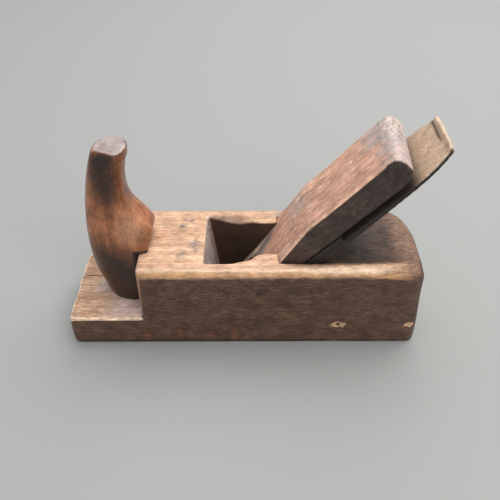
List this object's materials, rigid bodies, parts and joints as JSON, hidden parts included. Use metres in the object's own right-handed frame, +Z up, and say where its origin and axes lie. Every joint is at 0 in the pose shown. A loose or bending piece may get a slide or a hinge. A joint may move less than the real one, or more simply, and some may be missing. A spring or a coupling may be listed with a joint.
{
  "type": "horned smoothing plane",
  "caption": "Wooden hand plane with a low toe and an upright horn, a double iron on a steep bed and a forked wedge that holds it under cheek abutments.",
  "frame": {"origin": "on the sole plane, in the middle of the whole object's length and width", "axes": "+X from toe and horn to heel, +Y away from the side that the view shows, +Z up from the sole"},
  "size_m": [0.2386, 0.0694, 0.1456],
  "materials": {
    "stock_wood": "worn, oiled by hands",
    "horn_wood": "polished by use",
    "nail_iron": "dark, rusted",
    "wedge_wood": "worn, dirty sides",
    "iron_steel": "forged, rusted",
    "cap_steel": "forged, dark patina",
    "screw_steel": "turned, dark patina"
  },
  "bodies": {
    "stock": {"stock": "stock_wood", "horn": "horn_wood", "cheek_nail": "nail_iron"},
    "wedge": {"wedge": "wedge_wood"},
    "iron": {"iron": "iron_steel"},
    "cap_iron": {"cap_iron": "cap_steel"},
    "cap_screw": {"cap_screw": "screw_steel"}
  },
  "joints": [
    {"name": "wedge_slide", "type": "slide", "parent": "stock", "child": "wedge", "axis": [0.6839, 0, 0.7296], "range_m": [0, 0.065]},
    {"name": "iron_depth", "type": "slide", "parent": "stock", "child": "iron", "axis": [0.6516, 0, 0.7586], "range_m": [-0.0015, 0.004]},
    {"name": "cap_iron_set", "type": "slide", "parent": "iron", "child": "cap_iron", "axis": [0.6595, 0, 0.7517], "range_m": [-0.001, 0.003]},
    {"name": "cap_screw_turn", "type": "hinge", "parent": "cap_iron", "child": "cap_screw", "pos_m": [0.03592, 0, 0.04552], "axis": [-0.7586, 0, 0.6516], "range_deg": [-360, 0]}
  ]
}
